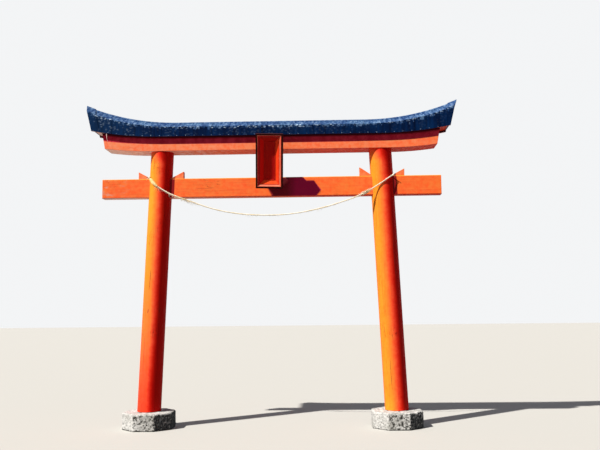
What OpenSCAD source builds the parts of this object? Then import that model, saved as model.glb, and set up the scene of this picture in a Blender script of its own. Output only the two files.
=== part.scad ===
// Torii gate. Two round posts lean inward on octagonal base stones. A tie beam runs through
// both posts and is wedged there. A lintel and a metal-clad roof beam with raised ends lie on
// the posts. A name board, left bare, leans out at the middle, and a straw rope hangs between
// the posts. X runs along the gate, Y from front to back, and Z up from the stones' undersides.

/* [Base stones] */
// Width of a base stone across its flats
stone_w = 850; // [700:10:1000]
// Height of a base stone
stone_h = 285; // [150:5:450]
// Bevel along the top edge of a base stone
stone_bevel = 18; // [5:1:40]

/* [Posts] */
// Distance between the two posts' centres on their stones
post_spacing = 4200; // [3800:50:4600]
// Diameter of a post at its foot
post_d = 400; // [340:5:440]
// Diameter of a post at its top
post_top_d = 394; // [330:2:430]
// Inward lean of each post in degrees
post_lean = 2.45; // [1:0.05:3.5]

/* [Tie beam] */
// Height of the tie beam's underside above the base stones
tie_z = 3640; // [3560:10:3700]
// Height of the tie beam
tie_h = 335; // [250:5:400]
// Thickness of the tie beam
tie_t = 180; // [120:5:220]
// Length of the tie beam
tie_l = 5890; // [5400:10:6200]
// Chamfer along the tie beam's edges
tie_edge = 10; // [3:1:20]

/* [Wedges] */
// Length of a wedge
wedge_l = 230; // [215:5:300]
// Height of a wedge at its thick end
wedge_h = 128; // [80:2:150]
// Height of the right inner wedge, which is a taller one
tall_wedge_h = 160; // [130:5:180]
// Height of a wedge at its nose
wedge_nose = 6; // [4:1:20]
// Thickness of a wedge
wedge_t = 110; // [60:5:110]
// How far a driven wedge stands out of its post
wedge_out = 190; // [120:5:200]
// How far the left inner wedge, which has worked loose, stands out
loose_wedge_out = 205; // [150:5:210]

/* [Centre strut] */
// Width of the strut between the tie beam and the lintel
strut_w = 210; // [120:5:260]
// Depth of the strut
strut_d = 150; // [100:5:200]

/* [Lintel] */
// Height of the lintel's underside above the base stones
lintel_z = 4445; // [4300:5:4600]
// Depth of the lintel from front to back
lintel_d = 410; // [400:5:450]
// Distance from the middle at which the lintel's underside starts to rise
lintel_curve_start = 2100; // [1900:50:2300]
// Radius of the lintel's rise
lintel_curve_r = 5800; // [4000:100:9000]
// Slant of the lintel's ends in degrees
lintel_end_slant = 10.5; // [0:0.5:16]

/* [Roof beam] */
// Height of the eave above the lintel's underside
eave_z = 240; // [200:2:280]
// Depth of the roof from front to back
roof_d = 540; // [510:5:600]
// Length of the roof along its eave
roof_l = 6210; // [6000:10:6400]
// How far the roof's eave runs past each end of the lintel
roof_overhang = 226; // [160:2:260]
// Height of the fascia at the middle of the roof
fascia_h = 170; // [140:5:220]
// Rise of each roof slope from the fascia to the ridge
slope_rise = 132; // [80:2:180]
// Distance from the middle at which the eave starts to rise
eave_curve_start = 1900; // [1600:50:2300]
// Radius of the eave's rise
eave_curve_r = 6200; // [5000:100:9000]
// Distance from the middle at which the ridge starts to rise
ridge_curve_start = 1660; // [1400:20:1900]
// Radius of the ridge's rise
ridge_curve_r = 4200; // [3800:50:6000]
// Slant of the roof's ends in degrees
roof_end_slant = 13.5; // [5:0.5:20]
// How much further out the ends of the roof deck reach at the ridge than at the fascias
verge_splay = 40; // [0:5:60]
// How far the fascias hang below the underside of the roof beam
eave_lip = 35; // [15:1:50]
// Thickness of a fascia
fascia_t = 22; // [15:1:40]
// Thickness of the metal sheet on the face of a fascia
sheet_t = 3; // [2:1:6]
// Thickness of the roof deck
deck_t = 22; // [15:1:40]
// Thickness of an end board
end_board_t = 25; // [15:1:40]
// Width of the ridge cap on each slope
cap_w = 75; // [50:5:120]
// Thickness of the ridge cap
cap_t = 6; // [3:1:10]
// Width of the trim round each end of the roof
trim_w = 140; // [80:5:200]
// Height of the end trims above the roof deck
trim_rise = 18; // [8:1:30]
// Thickness of the end trims on the faces of the fascias
trim_t = 4; // [3:1:8]

/* [Name board] */
// Width of the name board across its frame
board_w = 462; // [420:2:520]
// Height of the name board along its slope
board_h = 930; // [860:5:950]
// Depth of the name board's frame
board_d = 92; // [70:2:110]
// Width of each splayed side of the frame, seen from the front
board_bevel = 104; // [80:2:120]
// Width of the rim round the frame
board_rim = 30; // [15:1:40]
// Thickness of the panel
panel_t = 22; // [15:1:30]
// Forward lean of the name board in degrees
board_lean = 17.5; // [10:0.5:20]
// Tilt of the name board to the right in degrees, where it has slipped
board_tilt = 1.5; // [0:0.5:3]
// Distance of the frame's foot in front of the gate's middle
board_reach = 300; // [280:5:330]
// Height of the frame's foot above the tie beam's underside
board_z = 105; // [80:5:160]
// Diameter of the iron rods that hold the name board
rod_d = 14; // [8:1:20]
// Distance between the two upper rods
rod_spacing = 150; // [100:10:180]
// Width of the cleat under the name board
cleat_w = 160; // [100:10:180]
// Height of the cleat
cleat_h = 90; // [60:5:110]
// Height of the cleat's underside above the tie beam's underside
cleat_z = 205; // [180:5:220]
// Width of the block that holds the head of the name board
hanger_w = 200; // [120:10:240]
// Height of the block's underside above the lintel's underside
hanger_z = 70; // [55:5:90]
// Height of the two rods above the lintel's underside
rod_z = 35; // [20:5:40]

/* [Rope] */
// Diameter of the straw rope
rope_d = 22; // [16:1:24]
// Diameter of a knot
knot_d = 60; // [50:2:70]
// Length of a knot
knot_l = 64; // [50:2:80]
// Diameter of the nail that holds a knot
nail_d = 12; // [8:1:14]
// Depth of the nail in its post
nail_depth = 60; // [40:5:90]
// How far the nail stands out beyond its knot
nail_stand = 24; // [10:2:40]

/* [Hidden] */
fit = 0.3;
spare = 60;
head_gap = 15;
reach = roof_l;
curve_steps = 18;
tube_sides = 10;
tube_rings = 78;

// Levels above the ground
tie_bottom = stone_h + tie_z;
tie_top = tie_bottom + tie_h;
lintel_bottom = stone_h + lintel_z;
eave_bottom = lintel_bottom + eave_z;
soffit = eave_bottom + eave_lip;
arris = eave_bottom + fascia_h;

// Middle of a post's section and its radius at a height
function post_x(z) = post_spacing / 2 - tan(post_lean) * (z - stone_h);
function post_r(z) = (post_d + (post_top_d - post_d) * (z - stone_h) / lintel_z) / 2;

// Height that a curve gains at a distance from the middle: level, then an arc
function arc_rise(x, start, r) = abs(x) <= start ? 0 : r - sqrt(r * r - pow(abs(x) - start, 2));
function lintel_rise(x) = arc_rise(x, lintel_curve_start, lintel_curve_r);
function eave_rise(x) = arc_rise(x, eave_curve_start, eave_curve_r);
function ridge_rise(x) = arc_rise(x, ridge_curve_start, ridge_curve_r);

// Stations along the gate at which the curves are drawn
half_reach = roof_l / 2 + 2 * spare + fascia_h * 2 * tan(roof_end_slant);
first_station = min(ridge_curve_start, eave_curve_start, lintel_curve_start);
step = (half_reach - first_station) / curve_steps;
stations = concat([for (i = [curve_steps:-1:0]) -first_station - i * step],
                  [for (i = [0:curve_steps]) first_station + i * step]);
last_station = len(stations) - 1;

lintel_l = roof_l - 2 * roof_overhang;
slope = slope_rise / (roof_d / 2);
half_core = roof_d / 2 - sheet_t - fascia_t;
eave_end = eave_bottom + eave_rise(roof_l / 2);
lintel_end = lintel_bottom + lintel_rise(lintel_l / 2);

// The name board's reach in front of the posts sets the gate's place on the origin
board_front = board_reach + board_h * sin(board_lean);
board_foot = tie_bottom + board_z + board_d * sin(board_lean);
board_head = board_foot + board_h * cos(board_lean);
gate_y = (board_front - stone_w / 2) / 2;

// Middle line of the rope, from the left nail to the right one
rope_route = [
    [-2098, -156, 4256], [-2044, -184, 4198], [-1986, -204, 4140], [-1936, -210, 4098],
    [-1800, -211, 4012], [-1700, -212, 3962], [-1560, -212, 3906], [-1400, -212, 3848], [-1200, -212, 3775],
    [-1000, -212, 3710], [-800, -212, 3660], [-600, -212, 3624], [-400, -212, 3600], [-200, -212, 3588],
    [0, -212, 3584], [200, -212, 3590], [400, -212, 3608], [600, -212, 3638], [800, -212, 3680],
    [1000, -212, 3730], [1200, -212, 3790], [1400, -212, 3856], [1560, -212, 3922], [1700, -212, 3992],
    [1800, -211, 4054], [1936, -210, 4140], [1986, -204, 4176], [2044, -184, 4216], [2098, -156, 4252]
];

// Region of the front view between two curves, as a plate from y0 to y1
module plate(low, high, y0, y1) {
    translate([0, y1, 0])
        rotate([90, 0, 0])
            linear_extrude(y1 - y0)
                polygon(concat([for (i = [0:last_station]) [stations[i], low[i]]],
                               [for (i = [last_station:-1:0]) [stations[i], high[i]]]));
}

function level(z) = [for (x = stations) z];
function lintel_line(z) = [for (x = stations) z + lintel_rise(x)];
function eave_line(z) = [for (x = stations) z + eave_rise(x)];
function ridge_line(z) = [for (x = stations) z + ridge_rise(x)];

// Keeps what lies on one hand of the gate's middle, left or right
module on_hand(hand) {
    intersection() {
        children();
        translate([hand > 0 ? 0 : -reach, -reach, 0])
            cube([reach, 2 * reach, reach]);
    }
}

// Tilts what is drawn at the fascia's height so that it climbs to the ridge
module sloped(side) {
    multmatrix([[1, 0, 0, 0], [0, 1, 0, 0], [0, -side * slope, 1, slope_rise], [0, 0, 0, 1]])
        children();
}

// Everything between two slanted end planes that pass a half length at a height
module between_ends(half, z, slant) {
    k = tan(slant);
    down = reach / 4;
    translate([0, roof_d, 0])
        rotate([90, 0, 0])
            linear_extrude(2 * roof_d)
                polygon([[-half + k * down, z - down], [half - k * down, z - down],
                         [half + k * down, z + down], [-half - k * down, z + down]]);
}

module roof_ends(inset = 0) {
    between_ends(roof_l / 2 - inset / cos(roof_end_slant), eave_end, roof_end_slant);
}

// The ends of one hand drawn outwards with the distance from one fascia
module splayed_ends(hand, side, inset) {
    multmatrix([[1, -hand * side * verge_splay / (roof_d / 2), 0, hand * verge_splay],
                [0, 1, 0, 0], [0, 0, 1, 0], [0, 0, 0, 1]])
        roof_ends(inset);
}

// The same for the roof deck, whose ends reach further out towards the ridge
module verge_ends(inset = 0) {
    for (hand = [-1, 1])
        intersection() {
            splayed_ends(hand, -1, inset);
            splayed_ends(hand, 1, inset);
            translate([hand > 0 ? -spare : -reach, -reach, 0])
                cube([reach + spare, 2 * reach, reach]);
        }
}

// One half of the roof's depth, from y0 to y1 away from the middle
module half_plate(side, low, high, y0, y1) {
    plate(low, high, side > 0 ? y0 : -y1, side > 0 ? y1 : -y0);
}

// Section of the roof from y0 to y1 between a curve and a sloping top
module under_slope(side, low, top, y0, y1) {
    intersection() {
        half_plate(side, low, level(eave_bottom + reach), y0, y1);
        sloped(side) half_plate(side, level(eave_bottom - reach), ridge_line(top), y0, y1);
    }
}

// Whole section of the roof between a curve and both sloping tops
module under_slopes(low, top, half_depth) {
    intersection() {
        plate(low, level(eave_bottom + reach), -half_depth, half_depth);
        sloped(-1) plate(level(eave_bottom - reach), ridge_line(top), -half_depth, half_depth);
        sloped(1) plate(level(eave_bottom - reach), ridge_line(top), -half_depth, half_depth);
    }
}

module stone(side) {
    corner = stone_w / 2 - stone_bevel;
    color("gainsboro")
    translate([side * post_spacing / 2, 0, 0])
        difference() {
            rotate([0, 0, 22.5])
                cylinder(h = stone_h, d = stone_w / cos(22.5), $fn = 8);
            for (a = [0:45:315])
                rotate([0, 0, a])
                    translate([corner, -stone_w, stone_h])
                        rotate([0, 45, 0])
                            cube([stone_w, 2 * stone_w, stone_w]);
        }
}

// A wedge lies along X with its nose at zero and its flat side down
module wedge_form(h, gap = 0) {
    translate([0, wedge_t / 2 + gap, 0])
        rotate([90, 0, 0])
            linear_extrude(wedge_t + 2 * gap)
                polygon([[-gap, 0], [wedge_l, 0], [wedge_l, h + gap], [-gap, wedge_nose + gap]]);
}

// Puts a wedge at a post, outside it or inside it, with its thick end standing out
module at_wedge(side, outer, out) {
    thick_end = post_x(tie_top) + outer * (post_r(tie_top) + out);
    translate([side * thick_end, 0, tie_top])
        mirror([side * outer < 0 ? 1 : 0, 0, 0])
            translate([-wedge_l, 0, 0])
                children();
}

module wedge(side, outer, out, h = wedge_h) {
    color("orangered")
        at_wedge(side, outer, out) wedge_form(h);
}

// Ends of the rope, the way it runs on there, and the middle of each knot
function rope_tip(side) = side < 0 ? rope_route[0] : rope_route[len(rope_route) - 1];
function rope_lead(side) = unit(rope_tip(side) - (side < 0 ? rope_route[1] : rope_route[len(rope_route) - 2]));
function knot_middle(side) = rope_tip(side) + knot_l / 2 * rope_lead(side);
function unit(v) = v / norm(v);

// Puts what points along X in the middle of a post, aimed at its knot
module at_nail(side) {
    knot = knot_middle(side);
    axis_x = side * post_x(knot[2]);
    translate([axis_x, 0, knot[2]])
        rotate([0, 0, atan2(knot[1], knot[0] - axis_x)])
            children();
}

module nail_form(side, gap = 0) {
    at_nail(side)
        translate([post_r(tie_top) - nail_depth - gap, 0, 0])
            rotate([0, 90, 0])
                cylinder(h = nail_depth + knot_d + nail_stand, d = nail_d + 2 * gap, $fn = 48);
}

module post(side, inner_out, inner_h) {
    color("orangered")
    difference() {
        intersection() {
            translate([side * post_spacing / 2, 0, stone_h])
                rotate([0, -side * post_lean, 0])
                    translate([0, 0, -spare])
                        cylinder(h = lintel_z + 2 * spare, d1 = post_d, d2 = post_top_d, $fn = 96);
            translate([-reach, -reach, stone_h])
                cube([2 * reach, 2 * reach, lintel_z]);
        }
        translate([-reach, -tie_t / 2 - fit, tie_bottom])
            cube([2 * reach, tie_t + 2 * fit, tie_h + fit]);
        at_wedge(side, 1, wedge_out) wedge_form(wedge_h, fit);
        at_wedge(side, -1, inner_out) wedge_form(inner_h, fit);
        nail_form(side, fit);
    }
}

module tie_beam() {
    side = tie_t / 2;
    color("orangered")
        translate([-tie_l / 2, 0, tie_bottom])
            rotate([90, 0, 90])
                linear_extrude(tie_l)
                    polygon([[-side + tie_edge, 0], [side - tie_edge, 0], [side, tie_edge],
                             [side, tie_h - tie_edge], [side - tie_edge, tie_h],
                             [-side + tie_edge, tie_h], [-side, tie_h - tie_edge], [-side, tie_edge]]);
}

module centre_strut() {
    color("orangered")
        translate([-strut_w / 2, -strut_d / 2, tie_top])
            cube([strut_w, strut_d, lintel_bottom - tie_top]);
}

module lintel() {
    color("orangered")
        intersection() {
            plate(lintel_line(lintel_bottom), eave_line(soffit), -lintel_d / 2, lintel_d / 2);
            between_ends(lintel_l / 2, lintel_end, lintel_end_slant);
        }
}

module under_deck() {
    under_slopes(eave_line(soffit), arris - deck_t, half_core);
}

module roof_beam() {
    color("firebrick")
        intersection() {
            under_deck();
            roof_ends(end_board_t);
        }
}

module fascia(side) {
    color("firebrick")
        intersection() {
            under_slope(side, eave_line(eave_bottom), arris - deck_t, half_core, half_core + fascia_t);
            roof_ends();
        }
}

module fascia_sheet(side) {
    color("midnightblue")
        intersection() {
            under_slope(side, eave_line(eave_bottom), arris - deck_t, half_core + fascia_t, roof_d / 2);
            roof_ends();
        }
}

module roof_deck(side) {
    color("steelblue")
        intersection() {
            sloped(side)
                half_plate(side, ridge_line(arris - deck_t), ridge_line(arris), 0, roof_d / 2);
            verge_ends();
        }
}

module ridge_cap() {
    color("steelblue")
        intersection() {
            difference() {
                under_slopes(level(eave_bottom), arris + cap_t, cap_w);
                under_slopes(level(0), arris, roof_d);
            }
            verge_ends(trim_w);
        }
}

module end_board(side) {
    color("midnightblue")
        on_hand(side)
            intersection() {
                difference() {
                    under_deck();
                    roof_ends(end_board_t);
                }
                roof_ends();
            }
}

module end_trim(hand) {
    color("royalblue")
        on_hand(hand)
            intersection() {
                difference() {
                    under_slopes(eave_line(eave_bottom), arris + trim_rise, roof_d / 2 + trim_t);
                    under_slopes(level(0), arris, roof_d / 2);
                    verge_ends(trim_w);
                }
                verge_ends();
            }
}

// Puts the name board, drawn upright with its back at y = 0, in its place
module at_board() {
    translate([0, -board_reach + board_d * cos(board_lean), board_foot])
        rotate([board_lean, 0, 0])
            translate([0, 0, board_h / 2])
                rotate([0, board_tilt, 0])
                    translate([0, 0, -board_h / 2])
                        children();
}

// All that lies before the plane of the name board's back
module before_back() {
    at_board()
        translate([-board_w, -reach, -reach])
            cube([2 * board_w, reach, 2 * reach]);
}

// One splayed side of the frame, drawn along Z and mitred at both ends
module splayed_side(width, length) {
    inner = width / 2 - board_rim - board_bevel;
    mitre = board_rim + board_bevel + spare;
    intersection() {
        linear_extrude(length)
            polygon([[inner, 0], [inner, -panel_t], [width / 2 - board_rim, -board_d],
                     [width / 2, -board_d], [width / 2, 0]]);
        translate([0, spare, 0])
            rotate([90, 0, 0])
                linear_extrude(board_d + 2 * spare)
                    polygon([[width / 2 - mitre, mitre], [width / 2, 0],
                             [width / 2, length], [width / 2 - mitre, length - mitre]]);
    }
}

module stile(side) {
    color("firebrick")
        at_board()
            mirror([side < 0 ? 1 : 0, 0, 0]) splayed_side(board_w, board_h);
}

module rail(side) {
    color("firebrick")
        at_board()
            translate([0, 0, board_h / 2])
                rotate([0, side * 90, 0])
                    translate([0, 0, -board_w / 2])
                        splayed_side(board_h, board_w);
}

module board_panel() {
    inset = board_rim + board_bevel;
    color("darkred")
        at_board()
            translate([-board_w / 2 + inset, -panel_t, inset])
                cube([board_w - 2 * inset, panel_t, board_h - 2 * inset]);
}

// Cleat between the tie beam's face and the lower part of the name board
module board_cleat() {
    color("firebrick")
        difference() {
            translate([-cleat_w / 2, -board_front, tie_bottom + cleat_z])
                cube([cleat_w, board_front - tie_t / 2, cleat_h]);
            before_back();
        }
}

// Block between the lintel's face and the head of the name board, under the eave
module board_hanger() {
    block_bottom = lintel_bottom + hanger_z;
    block_top = min(eave_bottom, board_head) - head_gap;
    color("firebrick")
        difference() {
            translate([-hanger_w / 2, -board_front, block_bottom])
                cube([hanger_w, board_front - lintel_d / 2, block_top - block_bottom]);
            before_back();
        }
}

// Rod from the lintel's face to the back of the panel, square to the lintel
module board_rod(side) {
    color("dimgray")
        difference() {
            translate([side * rod_spacing / 2, -lintel_d / 2, lintel_bottom + rod_z])
                rotate([90, 0, 0])
                    cylinder(h = board_front - lintel_d / 2, d = rod_d, $fn = 32);
            before_back();
        }
}

// Point of a smooth curve through four neighbouring route points
function spline(a, b, c, d, t) =
    0.5 * (2 * b + (c - a) * t + (2 * a - 5 * b + 4 * c - d) * t * t
           + (3 * b - 3 * c + d - a) * t * t * t);
function on_route(u) =
    let (last = len(rope_route) - 1, i = min(floor(u), last - 1))
    spline(rope_route[max(i - 1, 0)], rope_route[i], rope_route[i + 1], rope_route[min(i + 2, last)], u - i);
module rope() {
    last = len(rope_route) - 1;
    middles = [for (i = [0:tube_rings - 1]) on_route(last * i / (tube_rings - 1))];
    ways = [for (i = [0:tube_rings - 1])
        unit(middles[min(i + 1, tube_rings - 1)] - middles[max(i - 1, 0)])];
    points = [for (i = [0:tube_rings - 1])
        let (flat = unit(cross(ways[i], [0, 0, 1])), up = cross(flat, ways[i]))
        for (k = [0:tube_sides - 1])
            middles[i] + rope_d / 2 * (cos(360 * k / tube_sides) * flat + sin(360 * k / tube_sides) * up)];
    sides = [for (i = [0:tube_rings - 2]) for (k = [0:tube_sides - 1])
        [i * tube_sides + k, i * tube_sides + (k + 1) % tube_sides,
         (i + 1) * tube_sides + (k + 1) % tube_sides, (i + 1) * tube_sides + k]];
    start_cap = [[for (k = [tube_sides - 1:-1:0]) k]];
    end_cap = [[for (k = [0:tube_sides - 1]) (tube_rings - 1) * tube_sides + k]];
    color("burlywood")
        polyhedron(points = points, faces = concat(sides, start_cap, end_cap), convexity = 4);
}

// Puts what points along Z at the tip of the rope, leading on from it
module at_tip(side) {
    way = rope_lead(side);
    translate(rope_tip(side))
        rotate([0, acos(way[2]), atan2(way[1], way[0])])
            children();
}

module rope_knot(side) {
    color("burlywood")
        difference() {
            at_tip(side) cylinder(h = knot_l, d = knot_d, $fn = 48);
            nail_form(side, fit);
        }
}

module rope_nail(side) {
    color("dimgray") nail_form(side);
}

module left_base_stone() stone(-1);
module right_base_stone() stone(1);
module left_post() post(-1, loose_wedge_out, wedge_h);
module right_post() post(1, wedge_out, tall_wedge_h);
module left_outer_wedge() wedge(-1, 1, wedge_out);
module left_inner_wedge() wedge(-1, -1, loose_wedge_out);
module right_inner_wedge() wedge(1, -1, wedge_out, tall_wedge_h);
module right_outer_wedge() wedge(1, 1, wedge_out);

module place() {
    translate([0, gate_y, 0]) children();
}

place() left_base_stone();
place() right_base_stone();
place() left_post();
place() right_post();
place() tie_beam();
place() left_outer_wedge();
place() left_inner_wedge();
place() right_inner_wedge();
place() right_outer_wedge();
place() centre_strut();
place() lintel();
place() roof_beam();
place() fascia(-1);  // front_fascia
place() fascia(1);  // back_fascia
place() fascia_sheet(-1);  // front_fascia_sheet
place() fascia_sheet(1);  // back_fascia_sheet
place() roof_deck(-1);  // front_roof_deck
place() roof_deck(1);  // back_roof_deck
place() ridge_cap();
place() end_board(-1);  // left_end_board
place() end_board(1);  // right_end_board
place() end_trim(-1);  // left_end_trim
place() end_trim(1);  // right_end_trim
place() board_panel();
place() rail(-1);  // board_top_rail
place() rail(1);  // board_bottom_rail
place() stile(-1);  // board_left_stile
place() stile(1);  // board_right_stile
place() board_cleat();
place() board_hanger();
place() board_rod(-1);  // board_left_rod
place() board_rod(1);  // board_right_rod
place() rope();
place() rope_knot(-1);  // left_rope_knot
place() rope_knot(1);  // right_rope_knot
place() rope_nail(-1);  // left_rope_nail
place() rope_nail(1);  // right_rope_nail
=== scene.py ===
"""Dresses the torii gate: weathered vermilion timber, a roof beam clad in blue painted sheet,
granite base stones, a bare name board and a twisted straw rope."""

import math
import random

import bpy
from mathutils import Matrix, Vector, noise
from mathutils.bvhtree import BVHTree


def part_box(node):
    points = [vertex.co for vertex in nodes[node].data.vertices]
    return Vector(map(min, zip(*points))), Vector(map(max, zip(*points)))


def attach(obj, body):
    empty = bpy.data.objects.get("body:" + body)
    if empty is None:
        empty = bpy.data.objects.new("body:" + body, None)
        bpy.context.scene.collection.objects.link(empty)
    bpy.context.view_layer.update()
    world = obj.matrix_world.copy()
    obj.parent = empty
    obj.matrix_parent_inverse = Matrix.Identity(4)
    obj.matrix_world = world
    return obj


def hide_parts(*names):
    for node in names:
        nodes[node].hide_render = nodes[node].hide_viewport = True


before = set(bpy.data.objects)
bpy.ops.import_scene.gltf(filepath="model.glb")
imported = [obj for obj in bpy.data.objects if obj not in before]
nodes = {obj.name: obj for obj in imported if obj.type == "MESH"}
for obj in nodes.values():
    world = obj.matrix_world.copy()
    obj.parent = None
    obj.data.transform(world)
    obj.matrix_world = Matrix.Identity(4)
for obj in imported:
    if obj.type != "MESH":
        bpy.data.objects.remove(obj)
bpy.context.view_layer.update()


# Daylight and ground: the camera stands where the picture was taken, 0.86 m right of the gate's
# middle and 2.07 m up. The sun is high on the front left and the sky fills the shade dimly. Sky
# and ground are pale only where they are looked at, so that they don't brighten the shade.

def linear(code):
    """Linear colour of an sRGB hex value."""
    values = [int(code[i:i + 2], 16) / 255 for i in (1, 3, 5)]
    return [v / 12.92 if v < 0.04045 else ((v + 0.055) / 1.055) ** 2.4 for v in values] + [1.0]


def add(tree, kind, sockets=None, out=0, stops=(), **settings):
    """Adds a shader node with its settings, links and ramp stops, and gives one output.

    A socket goes by its name or number: 1 to 4 are the two ranges of a map range, 6 and 7 are the
    two colours of a mix, and 2 and 3 its two numbers.
    """
    node = tree.nodes.new("ShaderNode" + kind)
    for name, value in settings.items():
        setattr(node, name, value)
    for key, value in (sockets or {}).items():
        if isinstance(value, bpy.types.NodeSocket):
            tree.links.new(value, node.inputs[key])
        else:
            node.inputs[key].default_value = linear(value) if isinstance(value, str) else value
    for k, (position, value) in enumerate(stops):
        element = node.color_ramp.elements[k] if k < 2 else node.color_ramp.elements.new(position)
        element.position = position
        element.color = linear(value) if isinstance(value, str) else [value] * 3 + [1]
    return node.outputs[out]


def new_material(name, code, **finish):
    """A material with one plain colour and the numbers of its finish on its shader."""
    material = bpy.data.materials.new(name)
    material.use_nodes = True
    material.diffuse_color = linear(code)
    shader = material.node_tree.nodes["Principled BSDF"]
    shader.inputs["Base Color"].default_value = linear(code)
    for key, value in finish.items():
        shader.inputs[key.replace("_", " ")].default_value = value
    return material, material.node_tree, shader


scene = bpy.context.scene
middle_y = sum(corner.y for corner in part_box("tie_beam")) / 2
camera_place = Vector((0.861, middle_y - 12.938, 2.068))
# Turned to the left, tipped up and rolled by so many radians, as fitted to the picture
camera_turn, camera_pitch, camera_roll = 0.02809, 0.10473, -0.01008
camera_data = bpy.data.cameras.new("camera")
camera_data.lens = 45.0
camera_data.sensor_width = 36.0
camera = bpy.data.objects.new("camera", camera_data)
camera.matrix_world = (Matrix.Translation(camera_place)
                       @ Matrix.Rotation(camera_turn, 4, "Z")
                       @ Matrix.Rotation(math.pi / 2 + camera_pitch, 4, "X")
                       @ Matrix.Rotation(camera_roll, 4, "Z"))
scene.collection.objects.link(camera)
scene.camera = camera
scene.view_settings.view_transform = "Standard"

sun_azimuth, sun_height = math.radians(52), math.radians(49)
sun_data = bpy.data.lights.new("sun", "SUN")
sun_data.energy = 5.7
sun_data.angle = math.radians(1.1)
sun_data.color = (1.0, 0.965, 0.90)
sun = bpy.data.objects.new("sun", sun_data)
to_sun = Vector((-math.sin(sun_azimuth) * math.cos(sun_height),
                 -math.cos(sun_azimuth) * math.cos(sun_height), math.sin(sun_height)))
sun.rotation_mode = "QUATERNION"
sun.rotation_quaternion = to_sun.to_track_quat("Z", "Y")
scene.collection.objects.link(sun)

world = bpy.data.worlds.new("world")
world.use_nodes = True
scene.world = world
tree = world.node_tree
rays = add(tree, "LightPath").node.outputs
looked_at = add(tree, "Math", {0: rays["Is Camera Ray"], 1: rays["Is Glossy Ray"]}, operation="MAXIMUM")
looked_at = add(tree, "Math", {0: looked_at, 1: rays["Is Transmission Ray"]}, operation="MAXIMUM")
dim_sky, pale_sky = [0.115, 0.12, 0.15, 1], [0.90, 0.91, 0.92, 1]
sky = add(tree, "Mix", {0: looked_at, 6: dim_sky, 7: pale_sky}, 2, data_type="RGBA")
tree.links.new(sky, tree.nodes["Background"].inputs["Color"])

ground_half = 60
pale_grey, dim_grey = "#C4C2BD", "#8A8884"
ground_material, tree, shader = new_material("pale_ground", pale_grey, Roughness=0.9)
rays = add(tree, "LightPath").node.outputs
ground_tone = add(tree, "Mix", {0: rays["Is Diffuse Ray"], 6: pale_grey, 7: dim_grey}, 2, data_type="RGBA")
tree.links.new(ground_tone, shader.inputs["Base Color"])
corners = [(ground_half * u, ground_half * v, 0) for u, v in ((-1, -1), (1, -1), (1, 1), (-1, 1))]
ground_mesh = bpy.data.meshes.new("ground")
ground_mesh.from_pydata(corners, [], [(0, 1, 2, 3)])
ground_mesh.materials.append(ground_material)
ground = bpy.data.objects.new("ground", ground_mesh)
scene.collection.objects.link(ground)


# Straw rope: three strands of rice straw laid up right-handed to 22 mm, bleached by the weather,
# and hung between the posts. Stalks have worked out along it, most of all at two frayed places.

rope_d = 0.022
rope_lay = 0.085
strand_r = rope_d * 0.255
# Loose stalks start this far from the rope's middle, and the left post's middle is at this x
rope_skin = 0.009
left_post_x = -1.95
# Points of the rope's middle line from knot to knot, y counted from the middle of the gate's depth
route = [
    (-2.098, -0.156, 4.256), (-2.044, -0.184, 4.198), (-1.986, -0.204, 4.140), (-1.936, -0.210, 4.098),
    (-1.800, -0.211, 4.012), (-1.700, -0.212, 3.962), (-1.560, -0.212, 3.906), (-1.400, -0.212, 3.848),
    (-1.200, -0.212, 3.775), (-1.000, -0.212, 3.710), (-0.800, -0.212, 3.660), (-0.600, -0.212, 3.624),
    (-0.400, -0.212, 3.600), (-0.200, -0.212, 3.588), (0.000, -0.212, 3.584), (0.200, -0.212, 3.590),
    (0.400, -0.212, 3.608), (0.600, -0.212, 3.638), (0.800, -0.212, 3.680), (1.000, -0.212, 3.730),
    (1.200, -0.212, 3.790), (1.400, -0.212, 3.856), (1.560, -0.212, 3.922), (1.700, -0.212, 3.992),
    (1.800, -0.211, 4.054), (1.936, -0.210, 4.140), (1.986, -0.204, 4.176), (2.044, -0.184, 4.216),
    (2.098, -0.156, 4.252),
]


def per(millimetres):
    """Texture scale whose features are about so many millimetres across."""
    return 1000 / millimetres


def smooth_route(points, step):
    """Points at about every step along a smooth curve through a few points."""
    points = [Vector(p) for p in points]
    out = []
    for i in range(len(points) - 1):
        a, b = points[max(i - 1, 0)], points[i]
        c, d = points[i + 1], points[min(i + 2, len(points) - 1)]
        count = max(1, round((c - b).length / step))
        for k in range(count):
            t = k / count
            out.append(0.5 * (2 * b + (c - a) * t + (2 * a - 5 * b + 4 * c - d) * t ** 2
                              + (3 * b - 3 * c + d - a) * t ** 3))
    out.append(points[-1])
    return out


def around(angle, side, up):
    """Direction at an angle from side towards up."""
    return math.cos(angle) * side + math.sin(angle) * up


upward = Vector((0, 0, 1))


def stalk(points, radii, sides):
    """Vertices and faces of a closed round strand along points, with a radius at each point."""
    vertices, faces = [], []
    way = (points[1] - points[0]).normalized()
    side = way.cross(upward)
    side = side.normalized() if side.length > 0.01 else Vector((1, 0, 0))
    for i, point in enumerate(points):
        ahead = (points[min(i + 1, len(points) - 1)] - points[max(i - 1, 0)]).normalized()
        way, side = ahead, way.rotation_difference(ahead) @ side
        up = way.cross(side)
        for k in range(sides):
            angle = 2 * math.pi * k / sides
            vertices.append(point + radii[i] * around(angle, side, up))
    for i in range(len(points) - 1):
        for k in range(sides):
            a, b = i * sides + k, i * sides + (k + 1) % sides
            faces.append((a, b, b + sides, a + sides))
    faces.append(tuple(range(sides - 1, -1, -1)))
    faces.append(tuple((len(points) - 1) * sides + k for k in range(sides)))
    return vertices, faces


def joined(parts):
    """One list of vertices and one of faces from several."""
    vertices, faces = [], []
    for more_vertices, more_faces in parts:
        start = len(vertices)
        vertices.extend(more_vertices)
        faces.extend(tuple(start + i for i in face) for face in more_faces)
    return vertices, faces


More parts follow.
